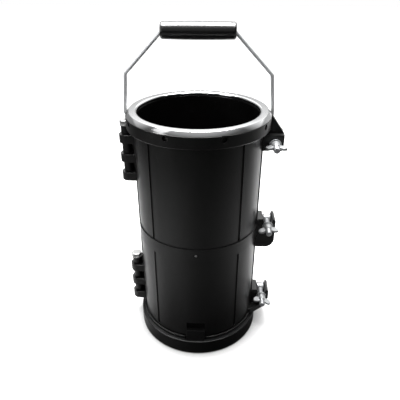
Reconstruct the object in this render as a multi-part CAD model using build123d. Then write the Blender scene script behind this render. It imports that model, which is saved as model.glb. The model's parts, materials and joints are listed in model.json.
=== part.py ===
from build123d import *
import os
from math import cos, radians, sin, sqrt

# Two-part hinged mould for casting concrete test cylinders.
# Millimetres, +Z up, origin at the centre of the base's underside. The shells part on the plane Y = 0:
# the front shell is on the -Y side, the hinges are on the -X side and the clamps on the +X side.

# Specimen space
BORE_RADIUS = 75.0
SPECIMEN_HEIGHT = 300.0

# Clearances, how far cuts run past the faces they open, and the wall left behind what stands on it
PARTING_GAP = 0.3
RUNNING_CLEARANCE = 0.08
SEAT_CLEARANCE = 0.3
SCREW_CLEARANCE = 0.1
CUT_OVERSHOOT = 1.0
ROOT_COVER = 2.2

# Base
BASE_REACH = 12.2
BASE_HEIGHT = 23.0
PLUG_HEIGHT = 7.0
BEAD_DEPTH = 2.0
BEAD_HEIGHT = 2.4
BEAD_RISE = 2.6
BASE_EDGE = 2.0
LEDGE_EDGE = 0.8
FOOT_WIDTH = 9.0
BASE_TOP = 7.0
HUB_RADIUS = 14.0
BASE_RIB_COUNT = 8
BASE_RIB_WIDTH = 4.0

# Shells
SHELL_WALL = 6.7
PANEL_DEPTH = 1.3
GROOVE_ANGLE = 42.1
GROOVE_WIDTH = 2.6
GROOVE_DEPTH = 3.0
PARTING_PAD = 15.0
BAND_HEIGHT = 18.0
BAND_OFFSET = 0.2
LIP_STEP = 1.2
LIP_HEIGHT = 4.6
LIP_WIDTH = 1.7
LIP_GROOVE = 1.3
LIP_GROOVE_DEPTH = 3.4
FLANGE_REACH = 14.0
FLANGE_HEIGHT = 14.9
FLANGE_EDGE = 1.0
GATE_RADIUS = 2.6
GATE_DEPTH = 0.6

# Key tab at the foot of each shell
TAB_WIDTH = 25.0
TAB_HEIGHT = 18.8
TAB_STEP = 2.5
TAB_EDGE = 0.5
TAB_NOTCH = 3.0
POCKET_HEIGHT = 10.0
POCKET_DEPTH = 3.4

# Ring screws, radial, four to a half
SCREWS_PER_HALF = 4
SCREW_PITCH = 41.7
SCREW_RADIUS = 2.0
SCREW_HEAD_RADIUS = 3.4
SCREW_HEAD_HEIGHT = 2.2
SCREW_RECESS = 3.2
SCREW_DROP = 4.2
DRIVE_LENGTH = 4.2
DRIVE_WIDTH = 0.9
DRIVE_DEPTH = 1.2

# Rim ring
RING_HEIGHT = 4.8
RING_FLAT = 9.6
RING_INSET = 0.4
RING_SIDE = 0.3
RING_ROUND = 2.6
RING_BULGE = 0.1
CREASE_WIDTH = 0.5
SKIRT_INSET = 4.2
SKIRT_WIDTH = 3.2
SKIRT_COVER = 2.0

# Hinges
HINGE_GAP = 0.4
NUT_WALL = 1.9
BACK_KNUCKLE_WALL = 2.4
KNUCKLE_HEIGHT = 11.2
KNUCKLE_PITCH = 25.7
KNUCKLES = 3
KNUCKLE_GAP = 0.5
TOP_KNUCKLE_HEIGHT = 10.6
UPPER_HINGE_DROP = 3.0
LOWER_HINGE_RISE = 7.9
HINGE_BOLT_RADIUS = 4.0
HEX_FLATS = 13.0
HEAD_HEIGHT = 5.3
CROWN_RADIUS = 16.5
CROWN_RISE = 0.9
NUT_HEIGHT = 6.5
HINGE_WASHER_RADIUS = 7.7
HINGE_WASHER_THICKNESS = 1.4

# Clamps
BOLT_RADIUS = 4.0
BOLT_CHAMFER = 1.0
THREAD_SPARE = 10.5
EYE_WALL = 4.0
EYE_WIDTH = 8.6
EYE_CLEARANCE = 0.6
SLOT_CLEARANCE = 0.7
PIN_RADIUS = 3.0
PIN_CHAMFER = 0.5
PIN_DEPTH = 7.0
PIN_CLEARANCE = 0.4
LUG_THICKNESS = 13.2
EAR_WIDTH = 5.5
EAR_HEIGHT = 9.2
EAR_ROUND = 3.0
SLOT_FLARE = 2.0
FLARE_DEPTH = 4.5
LUG_CORNER = 13.0
LUG_EDGE = 1.0
TOP_CLAMP_GAP = 7.9
TOP_LUG_RISE = 12.4
MIDDLE_CLAMP_RISE = 3.8
MIDDLE_LUG_DROP = 34.9
LOW_CLAMP_RISE = 23.0
LOW_LUG_TAPER = 7.2
LOW_LUG_HEEL = 4.0
GUSSET_FOOT = 4.6
GUSSET_REACH = 16.0
WEB_THICKNESS = 6.0
WASHER_RADIUS = 7.4
WASHER_THICKNESS = 1.6

# Wing nuts
HUB_HEIGHT = 8.0
NUT_HUB_WALL = 1.8
NUT_TIP_WALL = 0.9
WING_GAP = 0.4
WING_SPAN = 13.2
WING_RISE = 15.0
WING_THICKNESS = 2.8
WING_FOOT = 1.0
WING_ROOT = 7.4
WING_SHOULDER = 10.6
WING_LIFT = 3.6
WING_CROWN = 9.5
WING_HORN = 10.0
WING_EDGE = 0.8
NUT_TURNS = {"top": 0.0, "middle": 6.0, "low": -14.0}

# Bail
WIRE_RADIUS = 2.1
BAIL_HOLE_WALL = 1.82
BAIL_PIVOT_RISE = 7.2
BAIL_GAP = 1.6
BAIL_END_DEPTH = 7.0
BAIL_SHOULDER_RISE = 50.4
BAIL_SHOULDER_INSET = 4.4
BAIL_RISE = 99.3
BAIL_SHIFT = -0.8
BAIL_BEND = 6.0
FOOT_BEND = 3.0
GRIP_LENGTH = 87.5
GRIP_RADIUS = 10.2
GRIP_BARREL = 0.6
GRIP_EDGE = 2.8
GRIP_MOUTH_DEPTH = 5.2
GRIP_MOUTH_RADIUS = 6.2
GRIP_CORNER_INSET = 2.2

# Radii that follow from the sizes above
BASE_RADIUS = BORE_RADIUS + BASE_REACH
BEAD_RADIUS = BORE_RADIUS + BEAD_DEPTH
ROOT_RADIUS = BORE_RADIUS + ROOT_COVER
SHELL_RADIUS = BORE_RADIUS + SHELL_WALL
PANEL_RADIUS = SHELL_RADIUS - PANEL_DEPTH
LIP_RADIUS = SHELL_RADIUS + LIP_STEP
FLANGE_RADIUS = BORE_RADIUS + FLANGE_REACH
RING_RADIUS = FLANGE_RADIUS - RING_INSET
SKIRT_INNER = BORE_RADIUS + SKIRT_INSET
SKIRT_OUTER = SKIRT_INNER + SKIRT_WIDTH
SCREW_SEAT = FLANGE_RADIUS - SCREW_RECESS - SCREW_HEAD_HEIGHT
HEX_CORNER = HEX_FLATS / sqrt(3)
KNUCKLE_RADIUS = HEX_CORNER + NUT_WALL
BACK_KNUCKLE_RADIUS = HINGE_BOLT_RADIUS + BACK_KNUCKLE_WALL
HEAD_ROOM = max(HINGE_WASHER_RADIUS, HEX_CORNER) + SEAT_CLEARANCE
EYE_RADIUS = PIN_RADIUS + EYE_WALL
NUT_HUB_RADIUS = BOLT_RADIUS + NUT_HUB_WALL
NUT_TIP_RADIUS = BOLT_RADIUS + NUT_TIP_WALL

# Levels that follow from the sizes above
FLOOR_LEVEL = BASE_HEIGHT + PLUG_HEIGHT
RIM_LEVEL = FLOOR_LEVEL + SPECIMEN_HEIGHT
BEAD_LEVEL = BASE_HEIGHT + BEAD_RISE
SHELL_BOTTOM = BASE_HEIGHT + SEAT_CLEARANCE
LIP_TOP = SHELL_BOTTOM + LIP_HEIGHT
SHELL_TOP = RIM_LEVEL - RING_HEIGHT
SKIRT_BOTTOM = SHELL_TOP - SCREW_DROP - SCREW_RADIUS - SKIRT_COVER
FLANGE_BOTTOM = SHELL_TOP - FLANGE_HEIGHT
BAND_CENTRE = (SHELL_BOTTOM + FLANGE_BOTTOM) / 2 + BAND_OFFSET
HINGE_STACK = KNUCKLE_PITCH * (KNUCKLES - 1) + KNUCKLE_HEIGHT + KNUCKLE_GAP + TOP_KNUCKLE_HEIGHT
HINGE_LEVELS = {
    "upper": FLANGE_BOTTOM - UPPER_HINGE_DROP - HINGE_STACK,
    "lower": SHELL_BOTTOM + LOWER_HINGE_RISE,
}
CLAMP_LEVELS = {
    "top": FLANGE_BOTTOM - TOP_CLAMP_GAP - WING_SPAN,
    "middle": BAND_CENTRE + MIDDLE_CLAMP_RISE,
    "low": SHELL_BOTTOM + LOW_CLAMP_RISE,
}
BAIL_PIVOT = FLANGE_BOTTOM + BAIL_PIVOT_RISE

# Places across that follow from the sizes above
PARTING = PARTING_GAP / 2
HINGE_X = -(SHELL_RADIUS + HINGE_GAP + KNUCKLE_RADIUS)
NUT_SEAT = LUG_THICKNESS + SEAT_CLEARANCE + WASHER_THICKNESS + RUNNING_CLEARANCE
BOLT_X = SHELL_RADIUS + WING_GAP + WING_SPAN
SLOT_WIDTH = max(EYE_WIDTH, 2 * BOLT_RADIUS) + 2 * SLOT_CLEARANCE
LUG_OUTER = BOLT_X + SLOT_WIDTH / 2 + EAR_WIDTH
PIN_LENGTH = 2 * (LUG_OUTER - BOLT_X - LUG_EDGE)
SEAT_RADIUS = LUG_THICKNESS + PIN_DEPTH
BOLT_LENGTH = PIN_DEPTH + NUT_SEAT + HUB_HEIGHT + THREAD_SPARE
BAIL_SETBACK = HEAD_ROOM + BAIL_HOLE_WALL + WIRE_RADIUS + RUNNING_CLEARANCE
BAIL_FOOT = FLANGE_RADIUS + BAIL_GAP + WIRE_RADIUS
REACH = 2 * (LUG_OUTER + RIM_LEVEL)

FRONT, BACK = -1, 1
ABOUT_X = Rot(0, 90, 0)
ABOUT_Y = Rot(90, 0, 0)


def tube(outer, inner, low, high):
    """Ring of square section about the Z axis."""
    height = high - low
    ring = Cylinder(outer, height) - Cylinder(inner, height)
    return Pos(0, 0, (low + high) / 2) * ring


def rod(radius, low, high, x=0.0, y=0.0):
    """Upright round bar between two levels."""
    return Pos(x, y, (low + high) / 2) * Cylinder(radius, high - low)


def block(x_range, y_range, z_range):
    """Box between two corners, given as ranges in any order."""
    spans = [sorted(span) for span in (x_range, y_range, z_range)]
    middle = [(low + high) / 2 for low, high in spans]
    size = [high - low for low, high in spans]
    return Pos(*middle) * Box(*size)


def turned(points):
    """Solid of revolution about Z from a closed outline of (radius, level) points."""
    outline = Plane.XZ * make_face(Polyline(*points, close=True))
    return revolve(outline, Axis.Z)


def half(solid, side):
    """The part of a solid on one side of the parting plane, kept clear of it by half the gap."""
    keep = block((-REACH, REACH), (side * PARTING, side * REACH), (-REACH, REACH))
    return solid & keep


def hex_bar(flats, low, high, x, y):
    """Upright hexagonal bar between two levels."""
    outline = Pos(x, y, low) * RegularPolygon(flats / 2, 6, major_radius=False)
    return extrude(outline, high - low, dir=(0, 0, 1))


def base_plate():
    """Round base with a plug that closes the bore, a bead for the shells to grip and ribs underneath."""
    plug = BORE_RADIUS - SEAT_CLEARANCE
    outline = [
        (0, 0),
        (BASE_RADIUS - BASE_EDGE, 0),
        (BASE_RADIUS, BASE_EDGE),
        (BASE_RADIUS, BASE_HEIGHT - LEDGE_EDGE),
        (BASE_RADIUS - LEDGE_EDGE, BASE_HEIGHT),
        (plug, BASE_HEIGHT),
        (plug, FLOOR_LEVEL),
        (0, FLOOR_LEVEL),
    ]
    bead = tube(BEAD_RADIUS, plug - BEAD_DEPTH, BEAD_LEVEL, BEAD_LEVEL + BEAD_HEIGHT)
    depth = BASE_HEIGHT - BASE_TOP
    cavity = tube(BASE_RADIUS - FOOT_WIDTH, HUB_RADIUS, 0, depth)
    for index in range(BASE_RIB_COUNT):
        rib = block((0, BASE_RADIUS), (-BASE_RIB_WIDTH / 2, BASE_RIB_WIDTH / 2), (0, depth))
        cavity -= Rot(0, 0, 360 / BASE_RIB_COUNT * (index + 0.5)) * rib
    return turned(outline) + bead - cavity


def shell_body():
    """Both shells in one: wall, flange, foot lip, bead groove and skirt groove, before parting."""
    outline = [
        (BORE_RADIUS, SHELL_BOTTOM),
        (LIP_RADIUS, SHELL_BOTTOM),
        (LIP_RADIUS, LIP_TOP),
        (SHELL_RADIUS, LIP_TOP),
        (SHELL_RADIUS, FLANGE_BOTTOM),
        (FLANGE_RADIUS - FLANGE_EDGE, FLANGE_BOTTOM),
        (FLANGE_RADIUS, FLANGE_BOTTOM + FLANGE_EDGE),
        (FLANGE_RADIUS, SHELL_TOP),
        (BORE_RADIUS, SHELL_TOP),
    ]
    body = turned(outline)
    lip_inner = LIP_RADIUS - LIP_WIDTH
    body -= tube(lip_inner, lip_inner - LIP_GROOVE, LIP_TOP - LIP_GROOVE_DEPTH, LIP_TOP + CUT_OVERSHOOT)
    groove_low = BEAD_LEVEL - SEAT_CLEARANCE
    groove_high = BEAD_LEVEL + BEAD_HEIGHT + SEAT_CLEARANCE
    body -= tube(BEAD_RADIUS + SEAT_CLEARANCE, BORE_RADIUS - CUT_OVERSHOOT, groove_low, groove_high)
    groove_floor = SKIRT_BOTTOM - SEAT_CLEARANCE
    body -= tube(SKIRT_OUTER + SCREW_CLEARANCE, SKIRT_INNER - SCREW_CLEARANCE, groove_floor, SHELL_TOP)
    return body


def panels():
    """What the recessed panels take off the outside of the wall, in two rows between the parting pads."""
    rows = [
        (LIP_TOP, BAND_CENTRE - BAND_HEIGHT / 2),
        (BAND_CENTRE + BAND_HEIGHT / 2, FLANGE_BOTTOM),
    ]
    cut = None
    for low, high in rows:
        row = tube(SHELL_RADIUS + CUT_OVERSHOOT, PANEL_RADIUS, low, high)
        row -= block((-REACH, REACH), (-PARTING_PAD, PARTING_PAD), (low, high))
        row += grooves(low, high)
        cut = row if cut is None else cut + row
    return cut


def grooves(low, high):
    """Four upright grooves in a row of panels, cut square to the parting plane."""
    middle = PANEL_RADIUS * sin(radians(GROOVE_ANGLE))
    floor = PANEL_RADIUS * cos(radians(GROOVE_ANGLE)) - GROOVE_DEPTH
    cut = None
    for x in (-middle, middle):
        for side in (FRONT, BACK):
            width = (x - GROOVE_WIDTH / 2, x + GROOVE_WIDTH / 2)
            groove = block(width, (side * floor, side * SHELL_RADIUS), (low, high))
            cut = groove if cut is None else cut + groove
    return cut


def key_tab(side):
    """Tab at the foot of a shell, standing in a notch of the lip, with a pocket above it."""
    tab_top = SHELL_BOTTOM + TAB_HEIGHT
    face = side * (SHELL_RADIUS + TAB_STEP)
    root = side * ROOT_RADIUS
    half_width = TAB_WIDTH / 2
    notch = half_width + TAB_NOTCH
    tab = block((-half_width, half_width), (root, face), (SHELL_BOTTOM, tab_top))
    top_edges = tab.edges().filter_by(Axis.X).group_by(Axis.Z)[-1]
    tab = chamfer(top_edges.sort_by(Axis.Y)[0 if side == FRONT else -1], TAB_EDGE)
    gap_floor = side * PANEL_RADIUS
    gap = block((-notch, notch), (gap_floor, side * REACH), (SHELL_BOTTOM, LIP_TOP))
    pocket_floor = side * (PANEL_RADIUS - POCKET_DEPTH)
    pocket_top = tab_top + POCKET_HEIGHT
    pocket = block((-half_width, half_width), (pocket_floor, side * REACH), (tab_top, pocket_top))
    return tab, gap + pocket


def ring_angles(side):
    """Directions of the ring screws of one half, in degrees from +X."""
    middle = side * 90
    first = -SCREW_PITCH * (SCREWS_PER_HALF - 1) / 2
    return [middle + first + SCREW_PITCH * index for index in range(SCREWS_PER_HALF)]


def radial(shape, angle):
    """Shape made along +Z from the axis, laid out radially at the screws' level."""
    return Pos(0, 0, SHELL_TOP - SCREW_DROP) * Rot(0, 0, angle) * ABOUT_X * shape


def screw_holes(side):
    """Clearance holes and head recesses of the ring screws of one half."""
    cut = None
    mouth = FLANGE_RADIUS + CUT_OVERSHOOT
    hole = rod(SCREW_RADIUS + SCREW_CLEARANCE, SKIRT_OUTER, mouth)
    hole += rod(SCREW_HEAD_RADIUS + SCREW_CLEARANCE, SCREW_SEAT, mouth)
    for angle in ring_angles(side):
        placed = radial(hole, angle)
        cut = placed if cut is None else cut + placed
    return cut


def ring_screws(side):
    """The ring screws of one half: pan heads with a cross recess, shanks into the ring's skirt."""
    face = SCREW_SEAT + SCREW_HEAD_HEIGHT
    screw = rod(SCREW_RADIUS, SKIRT_INNER + SCREW_CLEARANCE, SCREW_SEAT)
    screw += rod(SCREW_HEAD_RADIUS, SCREW_SEAT, face)
    drive = Pos(0, 0, face - DRIVE_DEPTH / 2) * Box(DRIVE_LENGTH, DRIVE_WIDTH, DRIVE_DEPTH)
    screw -= drive + Rot(0, 0, 90) * drive
    return Compound(children=[radial(screw, angle) for angle in ring_angles(side)])


def rim_ring(side):
    """Half of the steel rim ring: flat top, crease, sloping outside and a skirt set into the flange."""
    flat_edge = BORE_RADIUS + RING_FLAT
    crease = flat_edge + CREASE_WIDTH
    side_top = SHELL_TOP + RING_SIDE
    slope = ((crease + RING_RADIUS) / 2 + RING_BULGE, (RIM_LEVEL + side_top) / 2 + RING_BULGE)
    inner_edge = BORE_RADIUS + RING_ROUND
    inner_turn = RING_ROUND * (1 - cos(radians(45)))
    section = make_face(
        Polyline((SKIRT_OUTER, SHELL_TOP), (RING_RADIUS, SHELL_TOP), (RING_RADIUS, side_top))
        + ThreePointArc((RING_RADIUS, side_top), slope, (crease, RIM_LEVEL))
        + Polyline(
            (crease, RIM_LEVEL),
            (flat_edge + CREASE_WIDTH / 2, RIM_LEVEL - CREASE_WIDTH),
            (flat_edge, RIM_LEVEL),
            (inner_edge, RIM_LEVEL),
        )
        + ThreePointArc(
            (inner_edge, RIM_LEVEL),
            (BORE_RADIUS + inner_turn, RIM_LEVEL - inner_turn),
            (BORE_RADIUS, RIM_LEVEL - RING_ROUND),
        )
        + Polyline(
            (BORE_RADIUS, RIM_LEVEL - RING_ROUND),
            (BORE_RADIUS, SHELL_TOP),
            (SKIRT_INNER, SHELL_TOP),
            (SKIRT_INNER, SKIRT_BOTTOM),
            (SKIRT_OUTER, SKIRT_BOTTOM),
            (SKIRT_OUTER, SHELL_TOP),
        )
    )
    ring = half(revolve(Plane.XZ * section, Axis.Z), side)
    hole = rod(SCREW_RADIUS + SCREW_CLEARANCE, SKIRT_INNER - CUT_OVERSHOOT, SKIRT_OUTER + CUT_OVERSHOOT)
    for angle in ring_angles(side):
        ring -= radial(hole, angle)
    return ring


def front_knuckle_levels(level):
    """Bottom levels of the front shell's knuckles of the hinge that starts at a level."""
    return [level + KNUCKLE_PITCH * index for index in range(KNUCKLES)]


def back_knuckle_spans(level):
    """Bottom and top levels of the back shell's knuckles, which fill the spaces above the front ones."""
    spans = []
    for bottom in front_knuckle_levels(level)[:-1]:
        spans.append((bottom + KNUCKLE_HEIGHT + KNUCKLE_GAP, bottom + KNUCKLE_PITCH - KNUCKLE_GAP))
    top = front_knuckle_levels(level)[-1] + KNUCKLE_HEIGHT + KNUCKLE_GAP
    spans.append((top, top + TOP_KNUCKLE_HEIGHT))
    return spans


def knuckle(side, radius, low, high):
    """Hinge knuckle with an arm to its shell, bored for the hinge bolt."""
    root = -sqrt(ROOT_RADIUS ** 2 - radius ** 2)
    arm = block((HINGE_X, root), (side * PARTING, side * radius), (low, high))
    return arm + rod(radius, low, high, HINGE_X)


def hinge_head_level(level):
    """Level of the seat of a hinge bolt's washer."""
    return back_knuckle_spans(level)[-1][1] + SEAT_CLEARANCE


def hinge_bolt(level):
    """Hex-head bolt from above the top knuckle down into the nut in the lowest one."""
    seat = hinge_head_level(level) + HINGE_WASHER_THICKNESS
    bolt = rod(HINGE_BOLT_RADIUS, level + PARTING_GAP, seat, HINGE_X)
    head = hex_bar(HEX_FLATS, seat, seat + HEAD_HEIGHT, HINGE_X, 0)
    crown = Pos(HINGE_X, 0, seat + HEAD_HEIGHT + CROWN_RISE - CROWN_RADIUS) * Sphere(CROWN_RADIUS)
    return bolt + (head & crown)


def hinge_washer(level):
    """Flat washer under a hinge bolt's head."""
    low = hinge_head_level(level)
    bore = HINGE_BOLT_RADIUS + RUNNING_CLEARANCE
    ring = tube(HINGE_WASHER_RADIUS, bore, low, low + HINGE_WASHER_THICKNESS)
    return Pos(HINGE_X, 0, 0) * ring


def hinge_nut(level):
    """Hex nut in the pocket under the lowest knuckle."""
    nut = hex_bar(HEX_FLATS, level, level + NUT_HEIGHT, HINGE_X, 0)
    return nut - rod(HINGE_BOLT_RADIUS + RUNNING_CLEARANCE, level, level + NUT_HEIGHT, HINGE_X)


def add_hinges(shell, side):
    """Shell with its knuckles of both hinges, bored, and with room for the other shell's knuckles."""
    for level in HINGE_LEVELS.values():
        if side == FRONT:
            for bottom in front_knuckle_levels(level):
                shell += knuckle(side, KNUCKLE_RADIUS, bottom, bottom + KNUCKLE_HEIGHT)
            pocket = hex_bar(HEX_FLATS + 2 * SCREW_CLEARANCE, level, level + NUT_HEIGHT, HINGE_X, 0)
            shell -= pocket
        else:
            for low, high in back_knuckle_spans(level):
                shell += knuckle(side, BACK_KNUCKLE_RADIUS, low, high)
        top = back_knuckle_spans(level)[-1][1]
        head_top = hinge_head_level(level) + HINGE_WASHER_THICKNESS + HEAD_HEIGHT
        shell -= rod(HEAD_ROOM, top, head_top + SEAT_CLEARANCE, HINGE_X)
        shell -= rod(HINGE_BOLT_RADIUS + RUNNING_CLEARANCE, level, top, HINGE_X)
    return shell


def clamp_up(place):
    """+1 where a clamp's bolt swings up out of its slot, -1 where it swings down."""
    return -1 if place == "top" else 1


def outer_corner(face, end):
    """Outermost corner of a lug's face at its bottom (end 0) or top (end -1)."""
    return face.vertices().group_by(Axis.Y)[end].sort_by(Axis.X)[-1]


def lug_outline(place):
    """Face of a clamp lug in the XZ plane, before its slot."""
    level = CLAMP_LEVELS[place]
    if place == "top":
        low = level - EAR_HEIGHT
        high = level + TOP_LUG_RISE
        points = [(ROOT_RADIUS, low), (LUG_OUTER, low), (LUG_OUTER, high), (ROOT_RADIUS, high)]
        face = make_face(Polyline(*points, close=True))
        return fillet(outer_corner(face, 0), EAR_ROUND)
    high = level + EAR_HEIGHT
    if place == "low":
        points = [
            (ROOT_RADIUS, SHELL_BOTTOM),
            (LUG_OUTER - LOW_LUG_TAPER, SHELL_BOTTOM),
            (LUG_OUTER, level - LOW_LUG_HEEL),
            (LUG_OUTER, high),
            (ROOT_RADIUS, high),
        ]
        face = make_face(Polyline(*points, close=True))
        return fillet(outer_corner(face, -1), EAR_ROUND)
    low = level - MIDDLE_LUG_DROP
    points = [(ROOT_RADIUS, low), (LUG_OUTER, low), (LUG_OUTER, high), (ROOT_RADIUS, high)]
    face = make_face(Polyline(*points, close=True))
    face = fillet(outer_corner(face, 0), LUG_CORNER)
    return fillet(outer_corner(face, -1), EAR_ROUND)


def slot(place):
    """Room for a swing bolt's shank: a round-bottomed slot right through both lugs, open at one end."""
    level = CLAMP_LEVELS[place]
    up = clamp_up(place)
    radius = SLOT_WIDTH / 2
    depth = LUG_THICKNESS + CUT_OVERSHOOT
    mouth = level + up * (EAR_HEIGHT + CUT_OVERSHOOT)
    cut = block((BOLT_X - radius, BOLT_X + radius), (-depth, depth), (level, mouth))
    throat = level + up * (EAR_HEIGHT - FLARE_DEPTH)
    lips = level + up * EAR_HEIGHT
    flare = make_face(Polyline(
        (BOLT_X - radius, throat),
        (BOLT_X - radius - SLOT_FLARE, lips),
        (BOLT_X - radius - SLOT_FLARE, mouth),
        (BOLT_X + radius + SLOT_FLARE, mouth),
        (BOLT_X + radius + SLOT_FLARE, lips),
        (BOLT_X + radius, throat),
        close=True,
    ))
    cut += extrude(Plane.XZ * flare, depth, both=True)
    return cut + Pos(BOLT_X, 0, level) * ABOUT_Y * Cylinder(radius, 2 * depth)


def across(radius, length, level):
    """Round bar along X through a swing bolt's pivot."""
    return Pos(BOLT_X, PIN_DEPTH, level) * ABOUT_X * Cylinder(radius, length)


def pivot_room(radius, length, level):
    """Room for a round bar at a swing bolt's pivot, open towards the front."""
    way_out = block(
        (BOLT_X - length / 2, BOLT_X + length / 2),
        (-CUT_OVERSHOOT, PIN_DEPTH),
        (level - radius, level + radius),
    )
    return across(radius, length, level) + way_out


def clamp_lug(place, side):
    """Clamp lug of one shell, with its slot and, at the back, the pivot pin's seats."""
    level = CLAMP_LEVELS[place]
    up = clamp_up(place)
    face = Plane.XZ * lug_outline(place)
    lug = extrude(face, LUG_THICKNESS - PARTING, dir=(0, side, 0))
    lug = Pos(0, side * PARTING, 0) * lug
    outer_edges = lug.edges().filter_by(Axis.Z).group_by(Axis.X)[-1]
    outer_edge = outer_edges.sort_by(Axis.Y)[0 if side == FRONT else -1]
    lug = fillet(outer_edge, LUG_EDGE)
    if place == "top":
        lug += top_web(side)
    if place == "low":
        lug += low_gusset(side)
    lug -= slot(place)
    if side == FRONT:
        depth = -LUG_THICKNESS - CUT_OVERSHOOT
        mouth = level + up * (EAR_HEIGHT + CUT_OVERSHOOT)
        ear = block((SHELL_RADIUS, LUG_OUTER + CUT_OVERSHOOT), (depth, 0), (level, mouth))
        return lug - (ear - across(SEAT_RADIUS, 2 * REACH, level))
    lug -= pivot_room(EYE_RADIUS + EYE_CLEARANCE, SLOT_WIDTH, level)
    return lug - pivot_room(PIN_RADIUS + PIN_CLEARANCE, PIN_LENGTH + 2 * PIN_CLEARANCE, level)


def top_web(side):
    """Triangular web from the top lug up to the flange, along the parting face."""
    high = CLAMP_LEVELS["top"] + TOP_LUG_RISE
    flange_root = FLANGE_RADIUS - ROOT_COVER
    points = [
        (ROOT_RADIUS, high - CUT_OVERSHOOT),
        (LUG_OUTER, high - CUT_OVERSHOOT),
        (LUG_OUTER, high),
        (FLANGE_RADIUS, SHELL_TOP),
        (flange_root, SHELL_TOP),
        (flange_root, FLANGE_BOTTOM + CUT_OVERSHOOT),
        (ROOT_RADIUS, FLANGE_BOTTOM + CUT_OVERSHOOT),
    ]
    outline = Plane.XZ * make_face(Polyline(*points, close=True))
    return Pos(0, side * PARTING, 0) * extrude(outline, WEB_THICKNESS - PARTING, dir=(0, side, 0))


def low_gusset(side):
    """Corner piece under the low wing nut, from the face of the lug to the shell."""
    wall = PANEL_RADIUS - CUT_OVERSHOOT
    near = LUG_THICKNESS - CUT_OVERSHOOT
    far = LUG_THICKNESS + GUSSET_REACH
    tip = LUG_OUTER - LOW_LUG_TAPER
    points = [
        (sqrt(wall ** 2 - near ** 2), side * near),
        (tip, side * near),
        (tip, side * LUG_THICKNESS),
        (sqrt(wall ** 2 - far ** 2) + GUSSET_FOOT, side * far),
        (sqrt(wall ** 2 - far ** 2), side * far),
    ]
    high = CLAMP_LEVELS["low"] - WING_SPAN - SEAT_CLEARANCE
    outline = Pos(0, 0, SHELL_BOTTOM) * make_face(Polyline(*points, close=True))
    return extrude(outline, high - SHELL_BOTTOM, dir=(0, 0, 1))


def shell(side):
    """One half shell with panels, tab, knuckles, clamp lugs and screw holes."""
    tab, tab_cut = key_tab(side)
    body = half(shell_body() - panels() - tab_cut, side) + tab
    body = add_hinges(body, side)
    for place in CLAMP_LEVELS:
        body += clamp_lug(place, side)
    body -= screw_holes(side)
    gate = Pos(0, side * SHELL_RADIUS, BAND_CENTRE) * ABOUT_Y * Cylinder(GATE_RADIUS, 2 * GATE_DEPTH)
    body -= gate
    if side == BACK:
        for end in (-1, 1):
            body -= bail_hole(end)
    return body


def eye_bolt(place):
    """Swing bolt: an eye on the cross pin and a round shank towards the front."""
    level = CLAMP_LEVELS[place]
    tip = PIN_DEPTH - BOLT_LENGTH
    shank = Pos(BOLT_X, (tip + PIN_DEPTH) / 2, level) * ABOUT_Y * Cylinder(BOLT_RADIUS, BOLT_LENGTH)
    shank = chamfer(shank.edges().sort_by(Axis.Y)[0], BOLT_CHAMFER)
    bolt = shank + across(EYE_RADIUS, EYE_WIDTH, level)
    return bolt - across(PIN_RADIUS + RUNNING_CLEARANCE, 2 * EYE_WIDTH, level)


def cross_pin(place):
    """Pivot pin through a swing bolt's eye."""
    pin = across(PIN_RADIUS, PIN_LENGTH, CLAMP_LEVELS[place])
    return chamfer(pin.edges().filter_by(GeomType.CIRCLE), PIN_CHAMFER)


def along_bolt(shape, place, start):
    """Shape made along +Z from its seat, laid along a swing bolt's shank towards the front."""
    return Pos(BOLT_X, -start, CLAMP_LEVELS[place]) * ABOUT_Y * shape


def clamp_washer(place):
    """Flat washer between a clamp lug and its wing nut."""
    ring = tube(WASHER_RADIUS, BOLT_RADIUS + SEAT_CLEARANCE, 0, WASHER_THICKNESS)
    return along_bolt(ring, place, LUG_THICKNESS + SEAT_CLEARANCE)


def wing_nut(place):
    """Wing nut: a tapered hub with two wings that sweep out and forward."""
    hub = Pos(0, 0, HUB_HEIGHT / 2) * Cone(NUT_HUB_RADIUS, NUT_TIP_RADIUS, HUB_HEIGHT)
    shoulder = (WING_SHOULDER, WING_LIFT)
    horn = (WING_HORN, WING_RISE)
    outline = make_face(
        Polyline((BOLT_RADIUS, WING_FOOT), shoulder)
        + ThreePointArc(shoulder, (WING_SPAN, WING_CROWN), horn)
        + Polyline(horn, (BOLT_RADIUS, WING_ROOT), (BOLT_RADIUS, WING_FOOT))
    )
    tip = outline.vertices().sort_by(Axis.Y)[-1]
    outline = fillet(tip, WING_EDGE)
    wing = extrude(Plane.XZ * outline, WING_THICKNESS / 2, both=True)
    nut = hub + wing + Rot(0, 0, 180) * wing
    nut -= rod(BOLT_RADIUS + RUNNING_CLEARANCE, -CUT_OVERSHOOT, WING_RISE)
    return along_bolt(Rot(0, 0, NUT_TURNS[place]) * nut, place, NUT_SEAT)


def bail_hole(end):
    """Hole in the back shell's flange for an end of the bail's wire."""
    length = BAIL_END_DEPTH + SEAT_CLEARANCE + abs(BAIL_SHIFT)
    bore = Cylinder(WIRE_RADIUS + RUNNING_CLEARANCE, length)
    return Pos(end * (BAIL_FOOT - length / 2), BAIL_SETBACK, BAIL_PIVOT) * ABOUT_X * bore


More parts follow.
